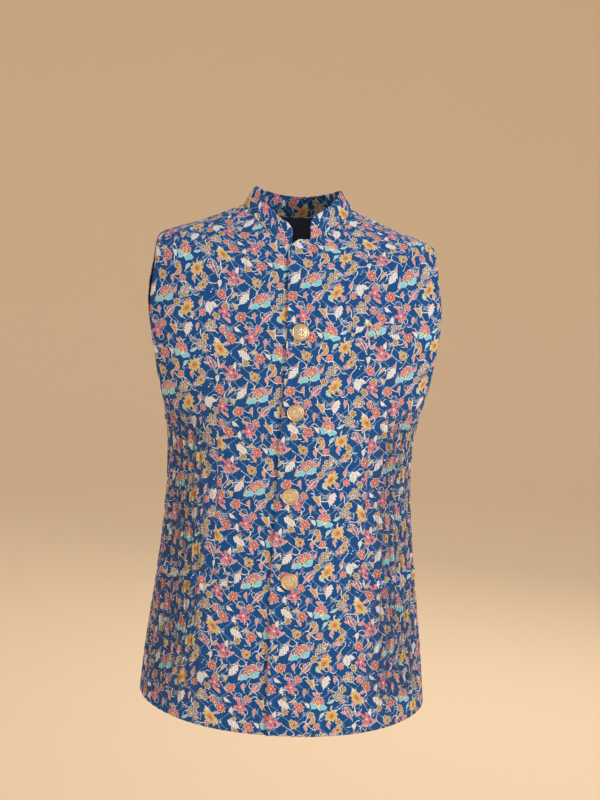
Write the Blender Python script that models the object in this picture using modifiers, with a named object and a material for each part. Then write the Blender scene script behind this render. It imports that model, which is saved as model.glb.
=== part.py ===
"""Sleeveless band-collar jacket in its worn, hollow form, with no wearer inside.

Metres, +Z up, the front faces -Y and the wearer's left is +X. The origin is the middle of the
neck, level with the two points where the shoulder seams meet the collar: there the wearer
holds the jacket up. Each cloth piece is an open surface with a thickness put on by Solidify.
"""

import math

import bmesh
import bpy
import numpy as np
from mathutils import Matrix, Vector

# Cloth and sewing
CLOTH = 0.0020  # outer cloth, interlining and lining pressed together
COLLAR_CLOTH = 0.0024  # the band is stiffened
WELT_CLOTH = 0.0012
SEAM_HALF = 0.0002  # each panel stops this far short of the seam line
LAID_ON = 0.0004  # air under a piece that lies on another

# The hollow form, from the hem up to the neck seam. Every row is one ring round the body: the
# height where it crosses the side, the front and the back, its half width, its depth forwards
# and backwards from the side line, and how square its corners are (2 is an ellipse). The rings
# from underarm to tip pass over the armhole, and those above tip climb the shoulder seam.
RING_COLUMNS = ("z_side", "z_front", "z_back", "half_width", "front", "back", "square")
RINGS = {
    "hem": (-0.697, -0.7205, -0.709, 0.2040, 0.128, 0.127, 2.50),
    "seat": (-0.600, -0.618, -0.608, 0.1925, 0.126, 0.121, 2.45),
    "pocket": (-0.501, -0.516, -0.506, 0.1800, 0.123, 0.108, 2.40),
    "waist": (-0.411, -0.418, -0.406, 0.1720, 0.120, 0.097, 2.35),
    "ribs": (-0.344, -0.340, -0.334, 0.1715, 0.121, 0.101, 2.35),
    "underarm": (-0.301, -0.286, -0.286, 0.1770, 0.123, 0.108, 2.30),
    "chest": (-0.226, -0.224, -0.224, 0.2080, 0.122, 0.114, 2.30),
    "bicep": (-0.141, -0.166, -0.154, 0.2265, 0.1135, 0.1165, 2.20),
    "cap": (-0.080, -0.120, -0.099, 0.2140, 0.0990, 0.1075, 2.12),
    "tip": (-0.046, -0.092, -0.065, 0.1900, 0.0860, 0.0940, 2.08),
    "yoke": (-0.025, -0.067, -0.040, 0.1340, 0.0715, 0.0805, 2.04),
    "neck": (0.000, -0.0425, -0.018, 0.0746, 0.056, 0.066, 2.00),
}
LEFT_SIDE_FALL = 0.021  # the wearer's left side hangs lower, in metres for each metre across
NECK_PULL = 0.0075  # the neckline is drawn down this far just right of the centre line

# Armhole: how far its edge runs from the side line towards the middle, in degrees round the
# body, and how low its widest place sits (0.5 is half way up).
ARMHOLE = {"front": (29.0, 0.47), "back": (25.0, 0.50)}
ARMHOLE_ROUND = 0.52  # 0.5 would be a half ellipse

# The line of the buttons: distance across at a height. It is pulled a little out of true.
BUTTON_LINE = ((-0.502, 0.0), (-0.384, -0.0028), (-0.269, 0.0), (-0.162, 0.0038), (-0.04, 0.0035))

# Front edges: distance across from the button line at a height. The left front lies on the
# right one, and its top corner is rounded off where the collar opens.
LEFT_EDGE = (
    (-0.711, -0.0255),
    (-0.506, -0.0260),
    (-0.386, -0.0190),
    (-0.116, -0.0175),
    (-0.066, -0.0175),
    (-0.052, -0.0165),
    (-0.046, -0.0135),
    (-0.043, -0.0040),
)
RIGHT_EDGE = ((-0.711, 0.0200), (-0.071, 0.0200), (-0.058, 0.0120), (-0.0435, -0.0128))
LAP_LIFT = CLOTH + 0.0009  # the upper front's height over the lower one
LAP_FLAT = 0.034  # the left front stands clear of the right one up to here
LAP_END = 0.062  # and lies in the form again from here

# Band collar
COLLAR_HEIGHT = 0.0300  # along the cloth
COLLAR_END = 0.0128  # each end stops this far from the button line
COLLAR_CORNER = 0.0135  # radius of the rounded front corners
COLLAR_LEAN = {"side": 0.0155, "front": 0.0060, "back": 0.0080}  # how far the top leans in

# Buttons, on the button line
BUTTON_HEIGHTS = (-0.1620, -0.2685, -0.3840, -0.5020)
BUTTON_RADIUS = 0.01145  # 36 line, 22.9 mm across
BUTTON_RIM = 0.0019
BUTTON_THICK = 0.0034
SHANK_RADIUS = 0.0026
SHANK_LENGTH = 0.0018

# Pocket welts: side of the body (1 is the wearer's left), distance from the centre to the
# inner end, measured over the cloth, width, height, height of the lower edge's inner end and
# how far the outer end is raised.
WELT_COLUMNS = ("side", "inner", "width", "height", "z", "rise")
WELTS = {
    "chest_welt": (1, 0.073, 0.088, 0.0115, -0.1650, 0.0040),
    "hip_welt_left": (1, 0.086, 0.130, 0.0150, -0.5170, 0.0010),
    "hip_welt_right": (-1, 0.076, 0.130, 0.0150, -0.5130, 0.0010),
}

# Largest folds: side of the body, degrees round from the centre front, half breadth in
# degrees, z of the lower and upper end, and depth. Negative depths are troughs.
FOLD_COLUMNS = ("side", "angle", "breadth", "z_low", "z_high", "depth")
FOLDS = (
    (1, 60.0, 9.0, -0.690, -0.320, -0.0028),
    (1, 76.0, 8.0, -0.630, -0.360, 0.0024),
    (-1, 57.0, 9.0, -0.680, -0.340, -0.0028),
    (-1, 74.0, 8.0, -0.590, -0.350, 0.0024),
    (1, 116.0, 11.0, -0.670, -0.340, -0.0032),
    (-1, 123.0, 11.0, -0.660, -0.360, -0.0032),
    (1, 156.0, 10.0, -0.630, -0.370, -0.0028),
    (-1, 164.0, 10.0, -0.640, -0.350, -0.0024),
)

# How finely the faceted solids are cut
FRONT_COLUMNS = 17
BACK_COLUMNS = 30
END_COLUMN = 0.25  # the last column at a seam is this share of an even one
ROWS_BELOW_ARMHOLE = 13
ROWS_BESIDE_ARMHOLE = 14
ROWS_ABOVE_ARMHOLE = 6

STATION = {name: index / (len(RINGS) - 1) for index, name in enumerate(RINGS)}
COLOURS = {
    "print": ((0.020, 0.085, 0.260, 1.0), 0.75, 0.0),
    "brass": ((0.620, 0.440, 0.180, 1.0), 0.35, 1.0),
}


def smooth_step(value):
    """0 below 0, 1 above 1 and an S-curve between."""
    inside = np.clip(value, 0.0, 1.0)
    return inside * inside * (3.0 - 2.0 * inside)


def smooth_column(stations, column):
    """A smooth curve through one column of RINGS (Hermite pieces with averaged slopes)."""
    known = np.array([row[RING_COLUMNS.index(column)] for row in RINGS.values()])
    step = 1.0 / (len(known) - 1)
    slopes = np.gradient(known, step)
    place = np.clip(np.asarray(stations, float) / step, 0.0, len(known) - 1.0)
    low = np.minimum(place.astype(int), len(known) - 2)
    part = place - low
    rise, run = part**2 * (3 - 2 * part), part * (1 - part)
    bend = run * ((1 - part) * slopes[low] - part * slopes[low + 1]) * step
    return known[low] * (1 - rise) + known[low + 1] * rise + bend


def neck_pull(x, along, station):
    """How far the neckline is drawn down right of the centre front, fading round and below."""
    across = smooth_step(-x / 0.013) * smooth_step((x + 0.075) / 0.060)
    high = smooth_step((station - STATION["yoke"]) / (1.0 - STATION["yoke"]))
    return np.where(along > 0, NECK_PULL * across * high, 0.0)


def form_point(angle, station):
    """Outer surface of the hollow form, with no folds. angle is in radians round the body from
    the centre front towards the wearer's left, and station runs from 0, hem, to 1, neck."""
    angle, station = np.broadcast_arrays(np.asarray(angle, float), np.asarray(station, float))
    ring = {column: smooth_column(station, column) for column in RING_COLUMNS}
    across, along = np.sin(angle), np.cos(angle)
    power = 2.0 / ring["square"]
    depth = np.where(along > 0, ring["front"], ring["back"])
    z_middle = np.where(along > 0, ring["z_front"], ring["z_back"])
    x = ring["half_width"] * np.sign(across) * np.abs(across) ** power
    y = -depth * np.sign(along) * np.abs(along) ** power
    z = ring["z_side"] + (z_middle - ring["z_side"]) * along**2 - LEFT_SIDE_FALL * x
    return np.stack([x, y, z - neck_pull(x, along, station)], axis=-1)


def form_normal(angle, station):
    """Outward unit normal of the form, from small steps both ways."""
    small = 1e-4
    low, high = np.maximum(station - small, 0.0), np.minimum(station + small, 1.0)
    round_it = form_point(angle + small, station) - form_point(angle - small, station)
    up_it = form_point(angle, high) - form_point(angle, low)
    normal = np.cross(round_it, up_it)
    return normal / np.linalg.norm(normal, axis=-1, keepdims=True)


def fold_height(angle, z):
    """Sum of the soft folds: a bell across each one, fading out at both of its ends."""
    height = np.zeros(np.broadcast(angle, z).shape)
    for row in FOLDS:
        fold = dict(zip(FOLD_COLUMNS, row))
        middle = fold["side"] * math.radians(fold["angle"])
        across = np.exp(-(((angle - middle) / math.radians(fold["breadth"])) ** 2))
        share = np.clip((z - fold["z_low"]) / (fold["z_high"] - fold["z_low"]), 0.0, 1.0)
        height += fold["depth"] * across * np.sin(math.pi * share) ** 2
    return height


def cloth_point(angle, station, lift=0.0):
    """A point of the outer cloth: the form, its folds, and lift metres further out."""
    flat = form_point(angle, station)
    out = fold_height(angle, flat[..., 2]) + lift
    return flat + form_normal(angle, station) * out[..., None]


def angle_of_x(x, station):
    """The angle at which the ring at station is x from the centre plane, on the front."""
    width = smooth_column(station, "half_width")
    square = smooth_column(station, "square")
    return np.arcsin(np.sign(x) * np.clip(np.abs(x) / width, 0.0, 1.0) ** (square / 2.0))


def armhole_angle(station, side):
    """How far the armhole's edge lies from the side line at a station, in radians."""
    reach, low = ARMHOLE[side]
    bottom, top = STATION["underarm"], STATION["tip"]
    share = np.clip((station - bottom) / (top - bottom), 0.0, 1.0)
    skewed = share ** (math.log(0.5) / math.log(low))
    return math.radians(reach) * (4.0 * skewed * (1.0 - skewed)) ** ARMHOLE_ROUND


def lap_lift(x):
    """How far the left front stands off the form at x, to lie on the right front."""
    return LAP_LIFT * smooth_step((LAP_END - x) / (LAP_END - LAP_FLAT))


def read_table(table, height):
    """The value of a (height, value) table at a height, in straight pieces."""
    heights, values = np.array(table).T
    return np.interp(height, heights, values)


def rows():
    """Stations of the panels' rows, closer together at both ends of the armhole."""
    bottom, top = STATION["underarm"], STATION["tip"]
    turn = np.linspace(0.0, math.pi, ROWS_BESIDE_ARMHOLE + 1)
    beside = bottom + (top - bottom) * (1.0 - np.cos(turn)) / 2.0
    below = np.linspace(0.0, bottom, ROWS_BELOW_ARMHOLE + 1)[:-1]
    above = np.linspace(top, 1.0, ROWS_ABOVE_ARMHOLE + 1)[1:]
    return np.concatenate([below, beside, above])


def column_shares(count, ends):
    """Shares from 0 to 1, evenly spaced but for a narrow column at the last end or at both,
    which keeps the cloth's direction true at a seam."""
    widths = np.ones(count)
    widths[-1] = END_COLUMN
    if ends == "both":
        widths[0] = END_COLUMN
    return np.r_[0.0, np.cumsum(widths)] / widths.sum()


def side_stop(station, side):
    """Angle from the centre to where a panel ends: the armhole's edge or just short of the
    side and shoulder seams."""
    turn = 1e-3
    across = form_point(np.full_like(station, math.pi / 2 - turn), station)
    arc = np.linalg.norm(across - form_point(math.pi / 2, station), axis=-1) / turn
    return math.pi / 2 - armhole_angle(station, side) - SEAM_HALF / arc


def front_grid(side):
    """Rows of points over a front, side 1 for the wearer's left and -1 for the right, from
    its front edge to its side edge. The left one is lifted where it laps the right one."""
    station = rows()
    edge = LEFT_EDGE if side > 0 else RIGHT_EDGE
    height = smooth_column(station, "z_front")
    x_edge = read_table(edge, height) + read_table(BUTTON_LINE, height)
    start = angle_of_x(x_edge, station)
    stop = side * side_stop(station, "front")
    share = column_shares(FRONT_COLUMNS, "last")
    angle = start[:, None] + (stop - start)[:, None] * share[None, :]
    level = np.broadcast_to(station[:, None], angle.shape)
    x = form_point(angle, level)[..., 0]
    return cloth_point(angle, level, lap_lift(x) if side > 0 else np.zeros_like(x))


def back_grid():
    """Rows of points over the one-piece back, from the wearer's left side to the right."""
    station = rows()
    stop = side_stop(station, "back")
    share = 2.0 * column_shares(BACK_COLUMNS, "both") - 1.0
    angle = math.pi + stop[:, None] * share[None, :]
    level = np.broadcast_to(station[:, None], angle.shape)
    return cloth_point(angle, level, np.zeros(angle.shape))


def collar_grid(columns=44, levels=5):
    """The band, from the wearer's left end round the back to the right end. It stands on the
    neck seam, leans in towards the top and has rounded front corners."""
    middle = read_table(BUTTON_LINE, smooth_column(1.0, "z_front"))
    first = float(angle_of_x(middle + COLLAR_END, 1.0))
    last = 2 * math.pi + float(angle_of_x(middle - COLLAR_END, 1.0))
    share = np.linspace(0.0, 1.0, columns + 1)
    eased = share - 0.07 * np.sin(2 * math.pi * share)  # closer together at the corners
    angle = first + (last - first) * eased
    wrapped = np.where(angle > math.pi, angle - 2 * math.pi, angle)
    x = form_point(wrapped, 1.0)[:, 0]
    on_left_front = (wrapped > 0) & (wrapped < math.pi / 2)
    lift = np.where(on_left_front, lap_lift(x), 0.0)
    base = cloth_point(wrapped, np.ones_like(wrapped), lift)
    lengths = np.r_[0.0, np.cumsum(np.linalg.norm(np.diff(base, axis=0), axis=1))]
    from_end = np.minimum(lengths, lengths[-1] - lengths)
    corner = np.clip(1.0 - from_end / COLLAR_CORNER, 0.0, 1.0)
    ahead = np.where(np.cos(wrapped) > 0, COLLAR_LEAN["front"], COLLAR_LEAN["back"])
    lean = ahead + (COLLAR_LEAN["side"] - ahead) * np.sin(wrapped) ** 2
    rise = np.sqrt(COLLAR_HEIGHT**2 - lean**2)
    top = rise - COLLAR_CORNER * (1.0 - np.sqrt(1.0 - corner**2))
    inward = -np.stack([np.sin(wrapped), -np.cos(wrapped), np.zeros_like(wrapped)], axis=-1)
    up = np.linspace(0.0, 1.0, levels + 1)[:, None] * top[None, :]
    tilt = (up / rise) ** 1.2 * lean
    straight_up = np.stack([np.zeros_like(up), np.zeros_like(up), up + LAID_ON], axis=-1)
    return base[None] + inward[None] * tilt[..., None] + straight_up


def between(grid, row, column):
    """Points of a grid at fractional rows and columns, in straight pieces."""
    low_row = np.minimum(row.astype(int), grid.shape[0] - 2)
    low_column = np.minimum(column.astype(int), grid.shape[1] - 2)
    up, along = (row - low_row)[..., None], (column - low_column)[..., None]
    lower = grid[low_row, low_column] * (1 - along) + grid[low_row, low_column + 1] * along
    upper = grid[low_row + 1, low_column] * (1 - along) + grid[low_row + 1, low_column + 1] * along
    return lower * (1 - up) + upper * up


def grid_normals(grid):
    """Outward unit normals of a grid whose columns run from the centre front to the side."""
    normal = np.cross(np.gradient(grid, axis=1), np.gradient(grid, axis=0))
    normal /= np.linalg.norm(normal, axis=-1, keepdims=True)
    return normal * np.sign(-normal[..., 1:2].mean())


def welt_grid(panel, inner, width, height, z, rise, levels=2):
    """A welt on a front: points of the front itself, moved out along its normals. It has a
    column at each of the front's own columns, so both bend at the same places."""
    row_numbers = np.arange(panel.shape[0], dtype=float)
    column_numbers = np.arange(panel.shape[1], dtype=float)
    row_at_z = np.array([np.interp(z, line[:, 2], row_numbers) for line in panel.swapaxes(0, 1)])
    level_line = between(panel, row_at_z, column_numbers)
    steps = np.linalg.norm(np.diff(level_line, axis=0), axis=1)
    from_edge = np.r_[0.0, np.cumsum(steps)]
    centre = np.interp(0.0, level_line[:, 0] * np.sign(level_line[-1, 0]), from_edge)
    first, last = np.interp(centre + np.array([inner, inner + width]), from_edge, column_numbers)
    whole = np.arange(math.floor(first) + 1, math.ceil(last), dtype=float)
    columns = np.r_[first, whole[(whole > first + 0.1) & (whole < last - 0.1)], last]
    share = (np.interp(columns, column_numbers, from_edge) - centre - inner) / width
    wanted = z + rise * share + np.linspace(0.0, height, levels + 1)[:, None]
    heights = between(
        panel[..., 2:],
        np.broadcast_to(row_numbers[:, None], (len(row_numbers), len(columns))),
        np.broadcast_to(columns, (len(row_numbers), len(columns))),
    )[..., 0]
    rows_at = np.stack(
        [np.interp(wanted[:, i], heights[:, i], row_numbers) for i in range(len(columns))], axis=1
    )
    columns_at = np.broadcast_to(columns, rows_at.shape)
    out = between(grid_normals(panel), rows_at, columns_at)
    return between(panel, rows_at, columns_at) + out * (LAID_ON + WELT_CLOTH)


def shell(name, grid, thickness, material):
    """A cloth piece: the grid as an open surface facing out, thickened inwards."""
    high, wide = grid.shape[:2]
    index = np.arange(high * wide).reshape(high, wide)
    quads = np.stack([index[:-1, :-1], index[:-1, 1:], index[1:, 1:], index[1:, :-1]], axis=-1)
    mesh = bpy.data.meshes.new(name)
    mesh.from_pydata(grid.reshape(-1, 3).tolist(), [], quads.reshape(-1, 4).tolist())
    mesh.materials.append(material)
    mesh.shade_smooth()
    piece = bpy.data.objects.new(name, mesh)
    solidify = piece.modifiers.new("cloth", "SOLIDIFY")
    solidify.thickness = thickness
    solidify.offset = -1.0
    solidify.use_even_offset = True
    solidify.use_quality_normals = True
    return piece


def station_of_z(z):
    """The station whose ring crosses the centre front at height z."""
    station = np.linspace(0.0, 1.0, 1201)
    return float(np.interp(z, smooth_column(station, "z_front"), station))


def button_profile():
    """Half section of a button, from its face's middle out over the rim and down its shank."""
    flat, rim = BUTTON_RADIUS - BUTTON_RIM, BUTTON_THICK
    return (
        (0.0, rim - 0.0002),
        (0.55 * flat, rim - 0.0004),
        (flat, rim - 0.0009),
        (flat + 0.4 * BUTTON_RIM, rim),
        (flat + 0.75 * BUTTON_RIM, rim - 0.0001),
        (BUTTON_RADIUS, rim - 0.0009),
        (BUTTON_RADIUS - 0.0002, rim - 0.0017),
        (0.60 * BUTTON_RADIUS, SHANK_LENGTH + 0.0002),
        (SHANK_RADIUS, SHANK_LENGTH),
        (SHANK_RADIUS, 0.0),
        (0.0, 0.0),
    )


def button(name, z, material):
    """A turned metal button whose shank stands on the left front, on the button line."""
    mesh = bpy.data.meshes.new(name)
    profile = [(radius, 0.0, height) for radius, height in button_profile()]
    mesh.from_pydata(profile, [(i, i + 1) for i in range(len(profile) - 1)], [])
    mesh.materials.append(material)
    piece = bpy.data.objects.new(name, mesh)
    screw = piece.modifiers.new("turned", "SCREW")
    screw.axis = "Z"
    screw.steps = screw.render_steps = 28
    screw.use_merge_vertices = True
    screw.merge_threshold = 0.00005
    station = station_of_z(z)
    angle = angle_of_x(read_table(BUTTON_LINE, z), station)
    normal = Vector(form_normal(angle, station))
    foot = Vector(cloth_point(angle, station, LAP_LIFT + LAID_ON))
    turn = normal.to_track_quat("Z", "Y").to_matrix().to_4x4()
    piece.matrix_world = Matrix.Translation(foot) @ turn
    return piece


def made_material(name):
    colour, roughness, metallic = COLOURS[name]
    material = bpy.data.materials.new(name)
    material.use_nodes = True
    surface = material.node_tree.nodes["Principled BSDF"]
    surface.inputs["Base Color"].default_value = colour
    surface.inputs["Roughness"].default_value = roughness
    surface.inputs["Metallic"].default_value = metallic
    material.diffuse_color = colour
    return material


def main():
    for old in list(bpy.data.objects):
        bpy.data.objects.remove(old)
    group = bpy.data.collections.new("band_collar_jacket")
    bpy.context.scene.collection.children.link(group)
    cloth, brass = made_material("print"), made_material("brass")
    fronts = {1: front_grid(1), -1: front_grid(-1)}
    pieces = [
        shell("front_left", fronts[1], CLOTH, cloth),
        shell("front_right", fronts[-1][:, ::-1], CLOTH, cloth),
        shell("back", back_grid(), CLOTH, cloth),
        shell("collar", collar_grid(), COLLAR_CLOTH, cloth),
    ]
    for name, row in WELTS.items():
        welt = dict(zip(WELT_COLUMNS, row))
        side = welt.pop("side")
        grid = welt_grid(fronts[side], **welt)
        pieces.append(shell(name, grid[:, ::side], WELT_CLOTH, cloth))
    for number, z in enumerate(BUTTON_HEIGHTS, start=1):
        pieces.append(button(f"button_{number}", z, brass))
    for piece in pieces:
        group.objects.link(piece)


main()
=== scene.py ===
"""Looks of the band-collar jacket: printed cloth panels, stand collar, pocket welts and brass
buttons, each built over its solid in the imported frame. Metres, +Z up, front faces -Y."""

import math

import bpy
import numpy as np
from mathutils import Matrix, Vector


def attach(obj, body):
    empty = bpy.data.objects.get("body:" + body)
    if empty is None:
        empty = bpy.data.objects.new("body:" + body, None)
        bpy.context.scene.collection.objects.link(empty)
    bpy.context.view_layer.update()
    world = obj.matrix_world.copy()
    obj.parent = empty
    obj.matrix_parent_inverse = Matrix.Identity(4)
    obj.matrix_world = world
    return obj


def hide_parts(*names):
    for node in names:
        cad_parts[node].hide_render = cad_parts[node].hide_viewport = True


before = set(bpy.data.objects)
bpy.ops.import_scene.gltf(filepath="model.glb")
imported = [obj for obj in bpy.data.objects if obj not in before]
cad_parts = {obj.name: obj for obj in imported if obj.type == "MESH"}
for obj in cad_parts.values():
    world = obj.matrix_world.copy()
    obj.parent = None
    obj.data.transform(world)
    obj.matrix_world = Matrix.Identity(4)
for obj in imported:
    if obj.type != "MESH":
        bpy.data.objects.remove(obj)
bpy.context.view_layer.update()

# ---------------------------------------------------------------------------------------------
# The back. One panel of printed cloth pressed to an interlining, cut whole from hem to neck. It
# is sewn to the fronts down both sides and along the shoulders, and its armholes are turned in.

CLOTH = 0.0020  # printed cloth, interlining and lining pressed together
SEAM_HALF = 0.0004  # each panel's edge stops this far short of the seam, and its roll fills it
ROLL = 0.00035  # how far an edge bulges between its two faces
# Loops of an edge: share of the way through the cloth, and share of the roll.
EDGE_LOOPS = ((0.15, 0.7), (0.5, 1.0), (0.85, 0.7))
LEFT_SIDE_FALL = 0.021  # the wearer's left side hangs lower, for each metre across
NECK_PULL = 0.0075  # the neckline is drawn down this far right of the centre line
PULL_RISE, PULL_END, PULL_FALL = 0.013, 0.075, 0.060  # in full from here; over here, after this
ARMHOLE = {"front": (29.0, 0.47), "back": (25.0, 0.50)}  # degrees in from the side, widest place
ARMHOLE_ROUND = 0.52

# One ring round the body in each row, from the hem up: heights at the side, the front and the
# back, half width, depth forwards and backwards, and how square it is (2 is an ellipse).
RING_COLUMNS = ("z_side", "z_front", "z_back", "half_width", "front", "back", "square")
RINGS = {
    "hem": (-0.697, -0.7205, -0.709, 0.2040, 0.128, 0.127, 2.50),
    "seat": (-0.600, -0.618, -0.608, 0.1925, 0.126, 0.121, 2.45),
    "pocket": (-0.501, -0.516, -0.506, 0.1800, 0.123, 0.108, 2.40),
    "waist": (-0.411, -0.418, -0.406, 0.1720, 0.120, 0.097, 2.35),
    "ribs": (-0.344, -0.340, -0.334, 0.1715, 0.121, 0.101, 2.35),
    "underarm": (-0.301, -0.286, -0.286, 0.1770, 0.123, 0.108, 2.30),
    "chest": (-0.226, -0.224, -0.224, 0.2080, 0.122, 0.114, 2.30),
    "bicep": (-0.141, -0.166, -0.154, 0.2265, 0.1135, 0.1165, 2.20),
    "cap": (-0.080, -0.120, -0.099, 0.2140, 0.0990, 0.1075, 2.12),
    "tip": (-0.046, -0.092, -0.065, 0.1900, 0.0860, 0.0940, 2.08),
    "yoke": (-0.025, -0.067, -0.040, 0.1340, 0.0715, 0.0805, 2.04),
    "neck": (0.000, -0.0425, -0.018, 0.0746, 0.056, 0.066, 2.00),
}
STATION = {name: index / (len(RINGS) - 1) for index, name in enumerate(RINGS)}

# Large soft folds: side of the body, degrees round from the centre front, half breadth in
# degrees, z of the two ends, and depth. Negative depths are troughs.
FOLD_COLUMNS = ("side", "angle", "breadth", "z_low", "z_high", "depth")
FOLDS = (
    (1, 60.0, 9.0, -0.690, -0.320, -0.0028),
    (1, 76.0, 8.0, -0.630, -0.360, 0.0024),
    (-1, 57.0, 9.0, -0.680, -0.340, -0.0028),
    (-1, 74.0, 8.0, -0.590, -0.350, 0.0024),
    (1, 116.0, 11.0, -0.670, -0.340, -0.0032),
    (-1, 123.0, 11.0, -0.660, -0.360, -0.0032),
    (1, 156.0, 10.0, -0.630, -0.370, -0.0028),
    (-1, 164.0, 10.0, -0.640, -0.350, -0.0024),
)

# Creases of a panel, in millimetres: middle, as the distance over the cloth from the centre line
# (seen from outside, to the right is positive) and z, half length, half breadth, lean from
# upright in degrees (positive leans right going up), bow to the right half way, and depth.
CREASE_COLUMNS = ("across", "z", "length", "breadth", "lean", "bow", "depth")
BACK_CREASES = (
    (-8, -398, 92, 9, 86, 5, -2.3),
    (26, -418, 74, 8, 94, -4, 1.5),
    (-52, -437, 66, 8, 81, 6, -1.8),
    (64, -380, 58, 9, 99, 4, -1.7),
    (-96, -352, 50, 8, 73, -4, 1.3),
    (108, -341, 46, 8, 109, 5, -1.5),
    (-84, -205, 84, 15, -17, 7, -2.0),
    (93, -192, 76, 14, 20, -8, -1.8),
    (-62, -170, 50, 12, -32, 4, 1.0),
    (158, -286, 56, 8, 48, -5, -1.7),
    (-150, -296, 62, 9, -52, 4, -1.9),
    (170, -318, 44, 7, 58, 3, 1.2),
    (-168, -330, 46, 7, -60, -3, 1.1),
    (4, -62, 62, 7, 90, -6, -1.1),
    (-38, -92, 34, 8, 62, 3, -0.8),
    (47, -88, 30, 8, -58, -3, -0.7),
    (-112, -612, 108, 19, 4, -5, 2.2),
    (-66, -640, 86, 16, -3, 4, -1.9),
    (18, -628, 98, 20, 3, 6, 2.0),
    (82, -646, 72, 15, -5, -4, -2.0),
    (136, -606, 104, 18, -3, 5, 1.7),
    (-186, -520, 96, 9, 3, 3, -1.8),
    (190, -540, 102, 10, -4, -3, -1.7),
    (-206, -450, 66, 7, 8, 2, 1.2),
    (208, -430, 58, 7, -9, -2, 1.2),
)
BACK_COLUMNS = 240
PANEL_ROWS = (112, 48, 27)  # below, beside and above the armhole
EDGE_STEPS = (0.0022, 0.0062)  # shares of a row: two close columns or rows beside an edge
BACK_CROWD = (0.52, 2.2)  # columns crowd beyond this share of the way to the side, by this factor
BACK_FLANK = (0.150, 0.205)  # the cloth crinkles from here, and in full from here, across
CRINKLE_TOP, CRINKLE_FADE = -0.250, 0.07
CRINKLE_LOW, CRINKLE_LOW_FADE, CRINKLE_AT_HEM = -0.700, 0.050, 0.25
COARSE, COARSE_APART = 0.00175, 0.0126
FINE, FINE_APART = 0.00100, 0.0056
SEAM_DIP, SEAM_BREADTH = 0.0007, 0.0016
PUCKER, PUCKER_APART, PUCKER_REACH = 0.00016, 0.0105, 0.007
EDGE_DROP, EDGE_DROP_BREADTH = 0.0006, 0.0007
SIDE_FADE = 0.006  # crinkles fade out this close to a side edge
RIDGE, RIDGE_IN, RIDGE_BREADTH = 0.00022, 0.0045, 0.0025  # along a pressed edge
BACK_PRINT = (0.031, 0.018)  # where the repeat starts on this cut


def smooth_step(value):
    """0 below 0, 1 above 1 and the cubic 3v^2 - 2v^3 between."""
    inside = np.clip(value, 0.0, 1.0)
    return inside * inside * (3.0 - 2.0 * inside)


def bell(distance, breadth):
    """1 at no distance, and exp(-d^2) of the distance over the breadth."""
    return np.exp(-((distance / breadth) ** 2))


def smooth_column(stations, column):
    """A column of RINGS at any station: cubic pieces, with averaged slopes where they meet."""
    known = np.array([row[RING_COLUMNS.index(column)] for row in RINGS.values()])
    step = 1.0 / (len(known) - 1)
    slopes = np.gradient(known, step)
    place = np.clip(np.asarray(stations, float) / step, 0.0, len(known) - 1.0)
    low = np.minimum(place.astype(int), len(known) - 2)
    part = place - low
    rise, run = part**2 * (3 - 2 * part), part * (1 - part)
    bend = run * ((1 - part) * slopes[low] - part * slopes[low + 1]) * step
    return known[low] * (1 - rise) + known[low + 1] * rise + bend


def neck_pull(x, along, station):
    """How far the neckline is drawn down right of the centre front: a bump across it, which
    fades out below the yoke."""
    across = smooth_step(-x / PULL_RISE) * smooth_step((x + PULL_END) / PULL_FALL)
    high = smooth_step((station - STATION["yoke"]) / (1.0 - STATION["yoke"]))
    return np.where(along > 0, NECK_PULL * across * high, 0.0)


def form_point(angle, station):
    """The hollow form: round each ring x is the half width times sin(angle)^(2/square), y the
    depth times cos(angle)^(2/square), and z goes from side to middle height with cos^2."""
    angle, station = np.broadcast_arrays(np.asarray(angle, float), np.asarray(station, float))
    ring = {column: smooth_column(station, column) for column in RING_COLUMNS}
    across, along = np.sin(angle), np.cos(angle)
    power = 2.0 / ring["square"]
    depth = np.where(along > 0, ring["front"], ring["back"])
    z_middle = np.where(along > 0, ring["z_front"], ring["z_back"])
    x = ring["half_width"] * np.sign(across) * np.abs(across) ** power
    y = -depth * np.sign(along) * np.abs(along) ** power
    z = ring["z_side"] + (z_middle - ring["z_side"]) * along**2 - LEFT_SIDE_FALL * x
    return np.stack([x, y, z - neck_pull(x, along, station)], axis=-1)


def form_normal(angle, station):
    """Outward unit normal of the form: the cross product of small steps round it and up it."""
    small = 1e-4
    low, high = np.maximum(station - small, 0.0), np.minimum(station + small, 1.0)
    round_it = form_point(angle + small, station) - form_point(angle - small, station)
    up_it = form_point(angle, high) - form_point(angle, low)
    normal = np.cross(round_it, up_it)
    return normal / np.linalg.norm(normal, axis=-1, keepdims=True)


def fold_height(angle, z):
    """Sum of FOLDS: a bell across each one, times the square of a half sine along it."""
    height = np.zeros(np.broadcast(angle, z).shape)
    for row in FOLDS:
        fold = dict(zip(FOLD_COLUMNS, row))
        middle = fold["side"] * math.radians(fold["angle"])
        turn = (angle - middle + math.pi) % (2 * math.pi) - math.pi
        share = np.clip((z - fold["z_low"]) / (fold["z_high"] - fold["z_low"]), 0.0, 1.0)
        across = bell(turn, math.radians(fold["breadth"]))
        height += fold["depth"] * across * np.sin(math.pi * share) ** 2
    return height


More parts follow.
